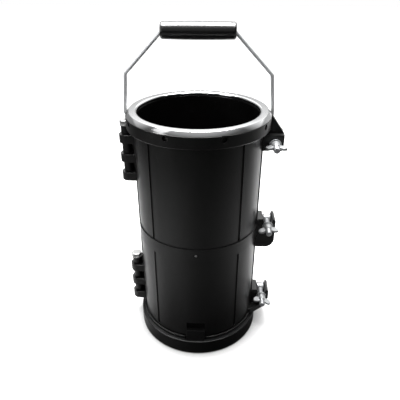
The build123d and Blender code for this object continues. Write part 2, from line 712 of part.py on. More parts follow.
def bail_wire():
    """Bent wire: two ends in the flange, two legs, two slants and the straight run inside the grip."""
    end = (BAIL_FOOT - BAIL_END_DEPTH, BAIL_PIVOT)
    shoulder = (BAIL_FOOT - BAIL_SHOULDER_INSET, BAIL_PIVOT + BAIL_SHOULDER_RISE)
    corner = (GRIP_LENGTH / 2 - GRIP_CORNER_INSET, BAIL_PIVOT + BAIL_RISE)
    right = [end, (BAIL_FOOT, BAIL_PIVOT), shoulder, corner]
    left = [(-x, z) for x, z in reversed(right)]
    bends = [FOOT_BEND, BAIL_BEND, BAIL_BEND]
    points = [(x + BAIL_SHIFT, BAIL_SETBACK, z) for x, z in right + left]
    path = FilletPolyline(*points, radius=bends + bends[::-1])
    start = Plane(origin=path @ 0, z_dir=path % 0)
    return sweep(start * Circle(WIRE_RADIUS), path=path)


def bail_grip():
    """Barrel-shaped tube grip on the bail's straight run, with wide mouths for the wire's bends."""
    end = GRIP_RADIUS - GRIP_BARREL
    low, high = -GRIP_LENGTH / 2, GRIP_LENGTH / 2
    section = make_face(
        Polyline((end, high), (0, high), (0, low), (end, low))
        + ThreePointArc((end, low), (GRIP_RADIUS, 0), (end, high))
    )
    body = revolve(Plane.XZ * section, Axis.Z)
    rims = body.edges().sort_by(Axis.Z)
    body = fillet([rims[0], rims[-1]], GRIP_EDGE)
    body -= Cylinder(WIRE_RADIUS + RUNNING_CLEARANCE, GRIP_LENGTH)
    for end in (-1, 1):
        mouth = Cylinder(GRIP_MOUTH_RADIUS, GRIP_MOUTH_DEPTH)
        body -= Pos(0, 0, end * (GRIP_LENGTH - GRIP_MOUTH_DEPTH) / 2) * mouth
    return Pos(BAIL_SHIFT, BAIL_SETBACK, BAIL_PIVOT + BAIL_RISE) * ABOUT_X * body


def all_parts():
    """Every sub-part by the name of its node."""
    parts = {"base_plate": base_plate(), "bail_wire": bail_wire(), "bail_grip": bail_grip()}
    for name, side in (("front", FRONT), ("back", BACK)):
        parts[name + "_shell"] = shell(side)
        parts[name + "_rim_ring"] = rim_ring(side)
        parts[name + "_ring_screws"] = ring_screws(side)
    for name, level in HINGE_LEVELS.items():
        parts[name + "_hinge_bolt"] = hinge_bolt(level)
        parts[name + "_hinge_washer"] = hinge_washer(level)
        parts[name + "_hinge_nut"] = hinge_nut(level)
    for place in CLAMP_LEVELS:
        parts[place + "_eye_bolt"] = eye_bolt(place)
        parts[place + "_cross_pin"] = cross_pin(place)
        parts[place + "_washer"] = clamp_washer(place)
        parts[place + "_wing_nut"] = wing_nut(place)
    return parts


os.makedirs("parts", exist_ok=True)
for node, solid in all_parts().items():
    export_step(solid, "parts/" + node + ".step")
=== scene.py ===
"""Hinged two-part mould for casting concrete test cylinders: its finishes, light and camera.

Metres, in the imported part's own frame: +Z up, the front half on the -Y side, hinges at -X, clamps at +X.
"""
import json
import logging
import math
from dataclasses import dataclass
from enum import Enum

import bmesh
import bpy
from mathutils import Matrix, Vector
from mathutils.bvhtree import BVHTree

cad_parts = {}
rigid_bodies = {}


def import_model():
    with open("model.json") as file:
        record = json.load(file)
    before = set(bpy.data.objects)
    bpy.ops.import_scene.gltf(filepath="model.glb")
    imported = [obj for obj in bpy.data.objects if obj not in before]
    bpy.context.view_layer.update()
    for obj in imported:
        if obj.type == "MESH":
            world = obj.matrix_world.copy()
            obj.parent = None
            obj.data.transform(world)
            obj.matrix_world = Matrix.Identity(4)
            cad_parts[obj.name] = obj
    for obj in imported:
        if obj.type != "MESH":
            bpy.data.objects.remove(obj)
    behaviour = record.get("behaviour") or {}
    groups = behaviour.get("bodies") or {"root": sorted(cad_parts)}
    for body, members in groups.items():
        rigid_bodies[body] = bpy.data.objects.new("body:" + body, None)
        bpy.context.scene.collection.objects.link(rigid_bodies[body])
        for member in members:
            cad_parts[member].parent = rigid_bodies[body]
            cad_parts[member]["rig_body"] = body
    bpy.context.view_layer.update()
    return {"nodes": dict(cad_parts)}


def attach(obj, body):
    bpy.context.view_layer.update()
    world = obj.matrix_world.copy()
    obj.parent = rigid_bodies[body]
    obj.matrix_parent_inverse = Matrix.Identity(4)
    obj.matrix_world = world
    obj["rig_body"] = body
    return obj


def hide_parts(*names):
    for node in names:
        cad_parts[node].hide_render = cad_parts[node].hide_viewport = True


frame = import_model()

Piece = bpy.types.Object
Material = bpy.types.Material
NodeTree = bpy.types.NodeTree
Socket = bpy.types.NodeSocket
Span = tuple[float, float]
Triple = tuple[float, float, float]

LOG = logging.getLogger("cylinder_mould")
MM = 0.001
UP_TO_FRONT = Matrix.Rotation(math.radians(90), 4, "X")
WELD = 0.04 * MM
SLIVER = 0.02 * MM
FLAT_ANGLE = math.radians(0.5)
SMOOTH_ANGLE = math.radians(40)
MOST_SIDES = 8
NOISE_SPAN = (0.3, 0.7)


class Half(Enum):
    """The two halves of the mould, with the body each one rides on."""

    FRONT = "front_half"
    BACK = "base_and_back_half"

    @property
    def word(self) -> str:
        """The half's word in the names of its nodes."""
        return self.name.lower()


class HingeLevel(Enum):
    """The two hinges, by the first word of their nodes' names."""

    UPPER = "upper"
    LOWER = "lower"


class ClampPlace(Enum):
    """The three swing-bolt clamps, by the first word of their nodes' names."""

    TOP = "top"
    MIDDLE = "middle"
    LOW = "low"


class LightReach(Enum):
    """What a light acts on: everything, matt shading only or reflections only."""

    ALL = "all"
    MATT = "matt"
    SHEEN = "sheen"


NUT_TURNS = {
    ClampPlace.TOP: math.radians(0),
    ClampPlace.MIDDLE: math.radians(6),
    ClampPlace.LOW: math.radians(-14),
}


class ShaderTree:
    """A node tree with short ways to add and link nodes."""

    def __init__(self, tree: NodeTree) -> None:
        """Keep the tree that nodes are added to."""
        self.tree = tree

    def add(self, kind: str, sockets: dict | None = None, **settings: object) -> bpy.types.Node:
        """Add one node.

        Args:
            kind: The node's type name, such as "ShaderNodeTexNoise".
            sockets: Values or output sockets for its inputs, by input name or index.
            **settings: Properties of the node itself.

        Returns:
            The new node.
        """
        node = self.tree.nodes.new(kind)
        for key, value in settings.items():
            setattr(node, key, value)
        for key, value in (sockets or {}).items():
            if isinstance(value, Socket):
                self.tree.links.new(value, node.inputs[key])
            else:
                node.inputs[key].default_value = value
        return node

    def math(self, operation: str, first: object, second: object = 0.0) -> Socket:
        """Add a Math node on one or two values and return its output."""
        node = self.add("ShaderNodeMath", {0: first, 1: second}, operation=operation)
        return node.outputs[0]

    def vector(self, operation: str, first: object, second: object = (0.0, 0.0, 0.0)) -> bpy.types.Node:
        """Add a Vector Math node on one or two vectors."""
        return self.add("ShaderNodeVectorMath", {0: first, 1: second}, operation=operation)

    def parts(self, vector: object) -> bpy.types.bpy_prop_collection:
        """Split a vector and return the outputs "X", "Y" and "Z"."""
        return self.add("ShaderNodeSeparateXYZ", {"Vector": vector}).outputs

    def spread(self, value: object, low: float, high: float, to_low: object, to_high: object) -> Socket:
        """Map a value's range on to another one, of numbers or sockets, and return the output."""
        sockets = {"Value": value, "From Min": low, "From Max": high, "To Min": to_low, "To Max": to_high}
        return self.add("ShaderNodeMapRange", sockets).outputs["Result"]

    def blend(self, factor: object, first: object, second: object) -> Socket:
        """Mix two values by a factor and return the value."""
        sockets = {0: factor, 2: first, 3: second}
        return self.add("ShaderNodeMix", sockets, data_type="FLOAT").outputs[0]

    def tint(self, factor: object, first: object, second: object) -> Socket:
        """Mix two colours by a factor and return the colour."""
        sockets = {0: factor, 6: first, 7: second}
        return self.add("ShaderNodeMix", sockets, data_type="RGBA").outputs[2]

    def noise(self, where: object, scale: object, detail: float = 3.0) -> Socket:
        """Add a noise texture and return its value."""
        sockets = {"Vector": where, "Scale": scale, "Detail": detail}
        return self.add("ShaderNodeTexNoise", sockets).outputs["Fac"]


class SurfaceTree(ShaderTree):
    """The node tree of a new material, with its Principled node and Object coordinates."""

    def __init__(self, name: str) -> None:
        """Make a plain material of a name."""
        self.material = bpy.data.materials.new(name)
        self.material.use_nodes = True
        super().__init__(self.material.node_tree)
        self.shader = self.tree.nodes["Principled BSDF"]
        self.where = self.add("ShaderNodeTexCoord").outputs["Object"]

    def feed(self, **inputs: object) -> None:
        """Link or set inputs of the Principled node, named with underscores for spaces."""
        for key, value in inputs.items():
            socket = self.shader.inputs[key.replace("_", " ")]
            if isinstance(value, Socket):
                self.tree.links.new(value, socket)
            else:
                socket.default_value = value

    def effect(self, group: NodeTree, **values: float) -> bpy.types.bpy_prop_collection:
        """Add a shared group on the Object coordinates and return its outputs."""
        return self.add("ShaderNodeGroup", {"Where": self.where, **values}, node_tree=group).outputs

    def bump(self, height: object, distance: float, strength: float) -> Socket:
        """Turn a height into a normal."""
        sockets = {"Height": height, "Distance": distance, "Strength": strength}
        return self.add("ShaderNodeBump", sockets).outputs["Normal"]


class EffectGroups:
    """Shader node groups that several finishes share, each built once."""

    def __init__(self) -> None:
        """Build the groups."""
        self.grain = self._moulded_grain()
        self.handling = self._handling()
        self.turning = self._turning_lines()

    @staticmethod
    def _start(name: str, inputs: dict[str, float], outputs: tuple[str, ...]) -> tuple[NodeTree, ShaderTree]:
        """Make an empty group with float inputs and outputs and Object coordinates as its first input.

        Args:
            name: The group's name.
            inputs: Default values of its inputs, by name.
            outputs: Names of its outputs.

        Returns:
            The group and a tree helper on it.
        """
        group = bpy.data.node_groups.new(name, "ShaderNodeTree")
        group.interface.new_socket("Where", in_out="INPUT", socket_type="NodeSocketVector")
        for label, value in inputs.items():
            socket = group.interface.new_socket(label, in_out="INPUT", socket_type="NodeSocketFloat")
            socket.default_value = value
        for label in outputs:
            group.interface.new_socket(label, in_out="OUTPUT", socket_type="NodeSocketFloat")
        return group, ShaderTree(group)

    def _moulded_grain(self) -> NodeTree:
        """Fine spark-eroded grain of a moulded surface with slow flow marks: a height and a mottle."""
        group, tree = self._start("moulded_grain", {"Scale": 1400.0}, ("Height", "Mottle"))
        entry = tree.add("NodeGroupInput")
        where = entry.outputs["Where"]
        fine = tree.noise(where, entry.outputs["Scale"], 2.0)
        stretched = tree.add("ShaderNodeMapping", {"Vector": where, "Scale": (1.0, 1.0, 0.16)})
        flow = tree.noise(stretched.outputs["Vector"], 46.0)
        height = tree.math("ADD", fine, tree.math("MULTIPLY", flow, 0.4))
        tree.add("NodeGroupOutput", {"Height": height, "Mottle": flow})
        return group

    def _handling(self) -> NodeTree:
        """Marks of use: cloudy smudges and thin scratches, as masks from 0 to 1."""
        group, tree = self._start("handling_marks", {"Smudge Scale": 24.0}, ("Smudge", "Scratch"))
        entry = tree.add("NodeGroupInput")
        where = entry.outputs["Where"]
        cloud = tree.noise(where, entry.outputs["Smudge Scale"], 5.0)
        smudge = tree.spread(cloud, 0.42, 0.68, 0.0, 1.0)
        slant = {"Vector": where, "Rotation": (0.4, 0.9, 0.3), "Scale": (1.0, 9.0, 0.5)}
        turned = tree.add("ShaderNodeMapping", slant)
        lines = tree.noise(turned.outputs["Vector"], 160.0, 2.0)
        scratch = tree.spread(lines, 0.69, 0.76, 0.0, 1.0)
        tree.add("NodeGroupOutput", {"Smudge": smudge, "Scratch": scratch})
        return group

    def _turning_lines(self) -> NodeTree:
        """Fine lines round an upright axis, as a lathe leaves them: a height by radius and level."""
        group, tree = self._start("turning_lines", {"Scale": 900.0}, ("Height",))
        entry = tree.add("NodeGroupInput")
        parts = tree.parts(entry.outputs["Where"])
        square_x = tree.math("MULTIPLY", parts["X"], parts["X"])
        square_y = tree.math("MULTIPLY", parts["Y"], parts["Y"])
        radius = tree.math("SQRT", tree.math("ADD", square_x, square_y))
        line = tree.add("ShaderNodeCombineXYZ", {"X": radius, "Y": parts["Z"]})
        lines = tree.noise(line.outputs["Vector"], entry.outputs["Scale"], 2.0)
        tree.add("NodeGroupOutput", {"Height": lines})
        return group


def grey(level: float) -> tuple[float, float, float, float]:
    """An opaque grey colour."""
    return (level, level, level, 1.0)


@dataclass(frozen=True)
class PlasticFinish:
    """Moulded plastic with a fine grain and marks of handling.

    It is polished inside a bore and in a pocket, and glossy above a level where it has a coat. The pocket is
    given by half its width across the middle and by its lowest and highest level.
    """

    name: str
    dark: float
    pale: float
    roughness: float
    specular: float
    grain_scale: float
    grain_height: float
    coat: float = 0.0
    coat_rough: float = 0.24
    coat_ior: float = 1.85
    coat_span: Span = (0.0, 1.0)
    bore: float = -1.0 * MM
    pocket: Triple = (0.0, 0.0, 0.0)
    bore_fade: float = 0.8 * MM
    polished_rough: float = 0.18
    mottle: Span = (-0.04, 0.05)
    dust_share: float = 0.55
    relief: float = 0.6

    def material(self, groups: EffectGroups) -> Material:
        """Build the material.

        Args:
            groups: The shared shader groups.

        Returns:
            The new material.
        """
        tree = SurfaceTree(self.name)
        grain = tree.effect(groups.grain, Scale=self.grain_scale)
        marks = tree.effect(groups.handling)
        dusty = tree.math("MULTIPLY", marks["Smudge"], self.dust_share)
        worn = tree.math("MAXIMUM", dusty, marks["Scratch"])
        tree.feed(
            Base_Color=tree.tint(worn, grey(self.dark), grey(self.pale)),
            Roughness=self._polished(tree, grain["Mottle"]),
            Normal=tree.bump(grain["Height"], self.grain_height, self.relief),
            Specular_IOR_Level=self.specular,
            Coat_Weight=tree.spread(tree.parts(tree.where)["Z"], *self.coat_span, 0.0, self.coat),
            Coat_Roughness=self.coat_rough,
            Coat_IOR=self.coat_ior,
        )
        return tree.material

    def _polished(self, tree: SurfaceTree, mottle: Socket) -> Socket:
        """The roughness: mottled, and even where the surface is polished.

        Args:
            tree: The material's tree.
            mottle: The grain's slow variation.

        Returns:
            The roughness.
        """
        low, high = self.mottle
        rough = tree.spread(mottle, *NOISE_SPAN, self.roughness + low, self.roughness + high)
        flat = tree.vector("MULTIPLY", tree.where, (1.0, 1.0, 0.0)).outputs["Vector"]
        reach = tree.vector("LENGTH", flat).outputs["Value"]
        rough = tree.spread(reach, self.bore, self.bore + self.bore_fade, self.polished_rough, rough)
        half, bottom, top = self.pocket
        parts = tree.parts(tree.where)
        middle = tree.math("LESS_THAN", tree.math("ABSOLUTE", parts["X"]), half)
        above = tree.math("GREATER_THAN", parts["Z"], bottom)
        below = tree.math("LESS_THAN", parts["Z"], top)
        inside = tree.math("MULTIPLY", middle, tree.math("MULTIPLY", above, below))
        return tree.spread(inside, 0.0, 1.0, rough, self.polished_rough)


@dataclass(frozen=True)
class MetalFinish:
    """Bright metal with fine working lines or a speckled plating, and marks of handling."""

    name: str
    bright: Triple
    dull: Triple
    roughness: float
    metallic: float = 1.0
    lines: bool = False
    line_scale: float = 900.0
    line_height: float = 0.03 * MM
    smudge_rough: float = 0.10
    relief: float = 0.5

    def material(self, groups: EffectGroups) -> Material:
        """Build the material.

        Args:
            groups: The shared shader groups.

        Returns:
            The new material.
        """
        tree = SurfaceTree(self.name)
        marks = tree.effect(groups.handling)
        pattern = tree.effect(groups.turning if self.lines else groups.grain, Scale=self.line_scale)
        smudged = self.roughness + self.smudge_rough
        tree.feed(
            Base_Color=tree.tint(marks["Smudge"], (*self.bright, 1.0), (*self.dull, 1.0)),
            Roughness=tree.spread(marks["Smudge"], 0.0, 1.0, self.roughness, smudged),
            Normal=tree.bump(pattern["Height"], self.line_height, self.relief),
            Metallic=self.metallic,
        )
        return tree.material


def only(piece: Piece) -> None:
    """Select one object alone and make it the active one."""
    for item in bpy.context.view_layer.objects:
        item.select_set(False)
    piece.hide_viewport = False
    piece.select_set(True)
    bpy.context.view_layer.objects.active = piece


def apply_modifier(piece: Piece, kind: str, **settings: object) -> None:
    """Add one modifier to a piece and apply it.

    Args:
        piece: The object, which is left active.
        kind: The modifier's type.
        **settings: Its properties.
    """
    only(piece)
    modifier = piece.modifiers.new(kind.lower(), kind)
    for key, value in settings.items():
        setattr(modifier, key, value)
    bpy.ops.object.modifier_apply(modifier=modifier.name)


@dataclass
class EdgeRounding:
    """Rounds the sharp edges of a mesh, each edge as far as the faces beside it have room.

    The edges of the parting faces, which close tight on each other, stay sharp. So do those on a skin, which
    is a radius about the upright axis, and those in a plain place across the middle, between two levels.
    """

    width: float
    segments: int = 3
    sharp: float = math.radians(30)
    straight: float = math.radians(170)
    parting: float = 0.2 * MM
    tries: int = 5
    shared_room: float = 0.45
    own_room: float = 0.9
    stray: float = 0.45
    skin: float = 0.0
    skin_span: Span = (-1.5 * MM, 0.1 * MM)
    plain_half: float = 0.0
    plain_levels: Span = (0.0, 0.0)

    def apply(self, piece: Piece) -> None:
        """Round the edges of a piece.

        Corners where the rounding would fold over are found by how far it strays and are left sharp.

        Args:
            piece: The object, with its faces joined.
        """
        bare = piece.data.copy()
        surface = BVHTree.FromPolygons(
            [vertex.co[:] for vertex in bare.vertices], [face.vertices[:] for face in bare.polygons]
        )
        shares = self._shares(bare)
        for _ in range(self.tries):
            piece.data = bare.copy()
            weights = piece.data.attributes.new("bevel_weight_edge", "FLOAT", "EDGE")
            for index, share in shares.items():
                weights.data[index].value = share
            apply_modifier(
                piece,
                "BEVEL",
                limit_method="WEIGHT",
                width=self.width,
                segments=self.segments,
                use_clamp_overlap=False,
                miter_outer="MITER_ARC",
            )
            folds = self._folds(piece.data, surface)
            if not folds:
                return
            for index in shares:
                ends = [bare.vertices[vertex].co for vertex in bare.edges[index].vertices]
                if any((end - fold).length < 2 * self.width for end in ends for fold in folds):
                    shares[index] = 0.0

    def _shares(self, mesh: bpy.types.Mesh) -> dict[int, float]:
        """The share of the full width that each sharp edge has room for, by edge index."""
        work = bmesh.new()
        work.from_mesh(mesh)
        marked = {
            edge
            for edge in work.edges
            if len(edge.link_faces) == 2
            and edge.calc_face_angle(0.0) > self.sharp
            and max(abs(end.co.y) for end in edge.verts) > self.parting
            and not all(self._stays_sharp(end.co) for end in edge.verts)
        }
        shares = {edge.index: self._room(edge, marked) / self.width for edge in marked}
        work.free()
        return shares

    def _stays_sharp(self, point: Vector) -> bool:
        """Whether a point lies on the skin, just under it or in the plain place."""
        low, high = self.skin_span
        bottom, top = self.plain_levels
        on_skin = low < point.xy.length - self.skin < high
        return on_skin or (abs(point.x) < self.plain_half and bottom < point.z < top)

    def _room(self, edge: bmesh.types.BMEdge, marked: set) -> float:
        """The width of rounding an edge has room for between its neighbours."""
        room = self.width
        for loop in edge.link_loops:
            across = 2 * loop.face.calc_area() / loop.face.calc_perimeter()
            room = min(room, self.shared_room * across)
            for near, corner in ((loop.link_loop_prev, loop), (loop.link_loop_next, loop.link_loop_next)):
                angle = corner.calc_angle()
                if angle < self.straight:
                    share = self.shared_room if near.edge in marked else self.own_room
                    room = min(room, share * near.edge.calc_length() * math.sin(angle))
        return room

    def _folds(self, mesh: bpy.types.Mesh, surface: BVHTree) -> list[Vector]:
        """Places where vertices stray from the bare surface, given by their neighbours that do not."""
        limit = self.stray * self.width
        far = {vertex.index for vertex in mesh.vertices if surface.find_nearest(vertex.co)[3] > limit}
        folds = []
        for edge in mesh.edges:
            ends = set(edge.vertices)
            if len(ends & far) == 1:
                folds.append(mesh.vertices[(ends - far).pop()].co.copy())
        return folds


def own_copy(source: Piece, name: str) -> Piece:
    """Add a copy of an object to the scene, with a mesh of its own."""
    piece = bpy.data.objects.new(name, source.data.copy())
    bpy.context.scene.collection.objects.link(piece)
    return piece


def extrude(across: float, along: float, up: float) -> None:
    """Extrude what is selected in edit mode and move it."""
    bpy.ops.mesh.extrude_region_move(TRANSFORM_OT_translate={"value": (across, along, up)})


def narrow(share: float) -> None:
    """Scale what is selected in edit mode about the Z axis."""
    bpy.ops.transform.resize(value=(share, share, 1), center_override=(0, 0, 0))


def open_edit() -> None:
    """Open the active piece in edit mode with all of it selected."""
    bpy.ops.object.mode_set(mode="EDIT")
    bpy.ops.mesh.select_all(action="SELECT")


def close_edit() -> None:
    """Turn all faces of the mesh in edit mode outward and leave the mode."""
    bpy.ops.mesh.select_all(action="SELECT")
    bpy.ops.mesh.normals_make_consistent(inside=False)
    bpy.ops.object.mode_set(mode="OBJECT")


def joined_copy(node: str, name: str) -> Piece:
    """Copy a CAD node with its loose triangles joined into whole faces, riding on the node's body.

    Args:
        node: The CAD node, which the copy stands for.
        name: The new piece's name.

    Returns:
        The new piece.
    """
    source = frame["nodes"][node]
    piece = own_copy(source, name)
    only(piece)
    bpy.ops.mesh.customdata_custom_splitnormals_clear()
    open_edit()
    bpy.ops.mesh.remove_doubles(threshold=WELD)
    bpy.ops.mesh.dissolve_degenerate(threshold=SLIVER)
    bpy.ops.mesh.dissolve_limited(angle_limit=FLAT_ANGLE)
    bpy.ops.mesh.select_all(action="DESELECT")
    bpy.ops.mesh.select_mode(type="FACE")
    bpy.ops.mesh.select_face_by_sides(number=MOST_SIDES, type="GREATER")
    bpy.ops.mesh.quads_convert_to_tris(quad_method="BEAUTY", ngon_method="BEAUTY")
    bpy.ops.object.mode_set(mode="OBJECT")
    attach(piece, source["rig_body"])
    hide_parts(node)
    return piece


def start_disc(sides: int, radius: float) -> Piece:
    """Add a flat disc at the origin and open it in edit mode, all of it selected."""
    bpy.ops.object.select_all(action="DESELECT")
    bpy.ops.mesh.primitive_circle_add(vertices=sides, radius=radius, fill_type="NGON")
    open_edit()
    return bpy.context.object


def start_bar(sides: int, radius: float, length: float) -> Piece:
    """Add a round bar up from the origin and open it in edit mode with its top face selected.

    Args:
        sides: How many sides stand for the round.
        radius: The bar's radius.
        length: How long it is.

    Returns:
        The bar.
    """
    bpy.ops.mesh.primitive_cylinder_add(
        vertices=sides, radius=radius, depth=length, location=(0, 0, length / 2)
    )
    bar = bpy.context.object
    bpy.ops.object.transform_apply(location=True)
    open_edit()
    bpy.ops.mesh.select_mode(type="FACE")
    bpy.ops.mesh.select_all(action="DESELECT")
    bpy.ops.object.mode_set(mode="OBJECT")
    for face in bar.data.polygons:
        face.select = face.normal.z > 0.9
    bpy.ops.object.mode_set(mode="EDIT")
    return bar


def combine(piece: Piece, other: Piece, operation: str, solver: str = "MANIFOLD") -> None:
    """Join or cut a piece with another object, which is used up.

    Args:
        piece: The object that is changed.
        other: The object to join or cut with.
        operation: "UNION", "DIFFERENCE" or "INTERSECT".
        solver: How the boolean is worked out: "MANIFOLD", or "EXACT" for a mesh that touches itself.
    """
    apply_modifier(piece, "BOOLEAN", object=other, operation=operation, solver=solver)
    bpy.data.objects.remove(other)


def mesh_box(mesh: bpy.types.Mesh) -> tuple[Vector, Vector]:
    """The lowest and highest corners of a mesh."""
    corners = [[vertex.co[axis] for vertex in mesh.vertices] for axis in range(3)]
    return Vector([min(values) for values in corners]), Vector([max(values) for values in corners])


def shade(piece: Piece) -> None:
    """Shade a finished piece smooth, with its large faces kept flat."""
    only(piece)
    bpy.ops.object.shade_smooth_by_angle(angle=SMOOTH_ANGLE)
    apply_modifier(piece, "WEIGHTED_NORMAL", keep_sharp=True)


def close_parting(piece: Piece, gap: float = 0.15 * MM, left: float = 0.002 * MM) -> None:
    """Draw a half's parting faces up to the other half, so that no light shows between them.

    Args:
        piece: The half's piece, with its faces joined.
        gap: How far its parting faces are from the parting plane.
        left: How far from it they end.
    """
    for vertex in piece.data.vertices:
        if abs(abs(vertex.co.y) - gap) < 0.005 * MM:
            vertex.co.y = math.copysign(left, vertex.co.y)


def rounded_copy(node: str, name: str, rounding: EdgeRounding, parted: bool = False) -> Piece:
    """Copy a CAD node with its sharp edges rounded, to stand for the node.

    Args:
        node: The CAD node.
        name: The new piece's name.
        rounding: How its edges are rounded.
        parted: Whether the node has parting faces, which are then closed up.

    Returns:
        The new piece, riding on the node's body.
    """
    piece = joined_copy(node, name)
    if parted:
        close_parting(piece)
    rounding.apply(piece)
    shade(piece)
    return piece


def dress(piece: Piece, material: Material) -> None:
    """Give a piece one material."""
    piece.data.materials.clear()
    piece.data.materials.append(material)
    for face in piece.data.polygons:
        face.material_index = 0


@dataclass
class Shells:
    """The two half shells of black plastic, each with the nub that its moulding gate left."""

    finish: PlasticFinish
    nub_finish: PlasticFinish
    edge: float = 1.0 * MM
    skin: float = 81.7 * MM
    tab_half: float = 13.0 * MM
    tab_top: Span = (41.0 * MM, 42.5 * MM)
    gate_place: Triple = (0.8 * MM, 81.0 * MM, 167.0 * MM)
    nub_radius: float = 1.75 * MM
    nub_height: float = 1.2 * MM
    nub_sides: int = 32
    nub_step: int = 14

    def build(self, groups: EffectGroups) -> None:
        """Round the edges of both shells, set their gate nubs and dress them."""
        material = self.finish.material(groups)
        # The nub's pale grey is partly a painted highlight.
        torn_and_highlight = self.nub_finish.material(groups)
        pattern = self._nub()
        rounding = EdgeRounding(
            self.edge, skin=self.skin, plain_half=self.tab_half, plain_levels=self.tab_top
        )
        for half in Half:
            node = half.word + "_shell"
            piece = rounded_copy(node, node + "_moulding", rounding, parted=True)
            nub = self._set_nub(half, pattern)
            for item, look in ((piece, material), (nub, torn_and_highlight)):
                dress(item, look)
            LOG.info("pieces %s, %s", piece.name, nub.name)
        bpy.data.objects.remove(pattern)

    def _nub(self) -> Piece:
        """Model the low dome that is left where a gate snaps off, along +Z."""
        nub = start_disc(self.nub_sides, self.nub_radius)
        angles = [math.radians(angle) for angle in range(0, 90, self.nub_step)]
        for low, high in zip(angles, angles[1:]):
            rise = self.nub_height * (math.sin(high) - math.sin(low))
            extrude(0, 0, rise)
            narrow(math.cos(high) / math.cos(low))
        close_edit()
        return nub

    def _set_nub(self, half: Half, pattern: Piece) -> Piece:
        """Set a copy of the nub in the gate mark of one half.

        Args:
            half: The half of the mould.
            pattern: The modelled nub.

        Returns:
            The nub, riding on the half's body.
        """
        nub = own_copy(pattern, half.word + "_gate_nub")
        across, out, level = self.gate_place
        turn = Matrix.Rotation(0.0 if half is Half.FRONT else math.pi, 4, "Z")
        nub.data.transform(turn @ Matrix.Translation((across, -out, level)) @ UP_TO_FRONT)
        shade(nub)
        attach(nub, half.value)
        return nub


@dataclass
class Base:
    """The round base plate."""

    finish: PlasticFinish
    edge: float = 1.0 * MM

    def build(self, groups: EffectGroups) -> None:
        """Round the base's edges and dress it."""
        piece = rounded_copy("base_plate", "base_moulding", EdgeRounding(self.edge))
        dress(piece, self.finish.material(groups))
        LOG.info("piece %s", piece.name)


@dataclass
class Rim:
    """The split steel rim ring and the screws that hold it."""

    ring_finish: MetalFinish
    screw_finish: MetalFinish
    ring_edge: float = 0.25 * MM
    screw_edge: float = 0.3 * MM

    def build(self, groups: EffectGroups) -> None:
        """Build both halves of the ring and their screws."""
        ring_steel = self.ring_finish.material(groups)
        screw_steel_and_shade = self.screw_finish.material(groups)
        ring_edge, screw_edge = EdgeRounding(self.ring_edge), EdgeRounding(self.screw_edge)
        for half in Half:
            ring = rounded_copy(half.word + "_rim_ring", half.word + "_rim_steel", ring_edge, parted=True)
            dress(ring, ring_steel)
            screws = rounded_copy(half.word + "_ring_screws", half.word + "_rim_screws", screw_edge)
            dress(screws, screw_steel_and_shade)
            LOG.info("pieces %s, %s", ring.name, screws.name)


@dataclass
class Hinges:
    """Hex bolts, washers and nuts of the two hinges."""

    finish: MetalFinish
    edge: float = 0.35 * MM

    def build(self, groups: EffectGroups) -> None:
        """Build the fasteners of both hinges."""
        material = self.finish.material(groups)
        for level in HingeLevel:
            for part in ("bolt", "washer", "nut"):
                node = f"{level.value}_hinge_{part}"
                piece = rounded_copy(node, f"{level.value}_pivot_{part}", EdgeRounding(self.edge))
                dress(piece, material)
                LOG.info("piece %s", piece.name)


@dataclass
class WingNut:
    """A cast wing nut, made along +Z from its seat: tapered hub, two oval wings and a bore."""

    hub_radius: float = 5.9 * MM
    tip_share: float = 0.84
    hub_height: float = 8.2 * MM
    hub_sides: int = 48
    rim_inset: float = 0.6 * MM
    rim_rise: float = 0.5 * MM
    wing_half: Span = (6.5 * MM, 4.2 * MM)
    wing_place: Span = (7.4 * MM, 8.6 * MM)
    wing_slope: float = math.radians(38)
    wing_thickness: float = 3.3 * MM
    wing_edge: float = 1.1 * MM
    wing_sides: int = 40
    bore: float = 4.05 * MM
    grain: float = 0.3 * MM

    def model(self) -> Piece:
        """Model the nut once.

        Returns:
            The nut at the origin, to be copied to each clamp.
        """
        nut = self._hub()
        for turn in (0.0, math.pi):
            combine(nut, self._wing(turn), "UNION")
        apply_modifier(nut, "REMESH", mode="VOXEL", voxel_size=self.grain)
        apply_modifier(nut, "SMOOTH", factor=0.5, iterations=5)
        through = 6 * self.hub_height
        bpy.ops.mesh.primitive_cylinder_add(vertices=self.hub_sides, radius=self.bore, depth=through)
        combine(nut, bpy.context.object, "DIFFERENCE")
        return nut

    def _hub(self) -> Piece:
        """The hub: a round bar tapered towards its outer end, with rounded rims."""
        hub = start_bar(self.hub_sides, self.hub_radius, self.hub_height)
        narrow(self.tip_share)
        bpy.ops.mesh.inset(thickness=self.rim_inset)
        bpy.ops.transform.translate(value=(0, 0, self.rim_rise))
        bpy.ops.object.mode_set(mode="OBJECT")
        return hub

    def _wing(self, turn: float) -> Piece:
        """One wing: an oval plate that slopes out and forward.

        Args:
            turn: Its angle round the nut's axis.

        Returns:
            The wing in its place on the nut.
        """
        wing = start_disc(self.wing_sides, 1.0)
        bpy.ops.transform.resize(value=(*self.wing_half, 1), center_override=(0, 0, 0))
        bpy.ops.transform.translate(value=(0, 0, -self.wing_thickness / 2))
        extrude(0, 0, self.wing_thickness)
        close_edit()
        EdgeRounding(self.wing_edge, parting=-1.0).apply(wing)
        slope = Matrix.Rotation(-self.wing_slope, 4, "Y")
        place = Matrix.Translation((self.wing_place[0], 0, self.wing_place[1]))
        wing.data.transform(Matrix.Rotation(turn, 4, "Z") @ place @ slope @ UP_TO_FRONT)
        return wing


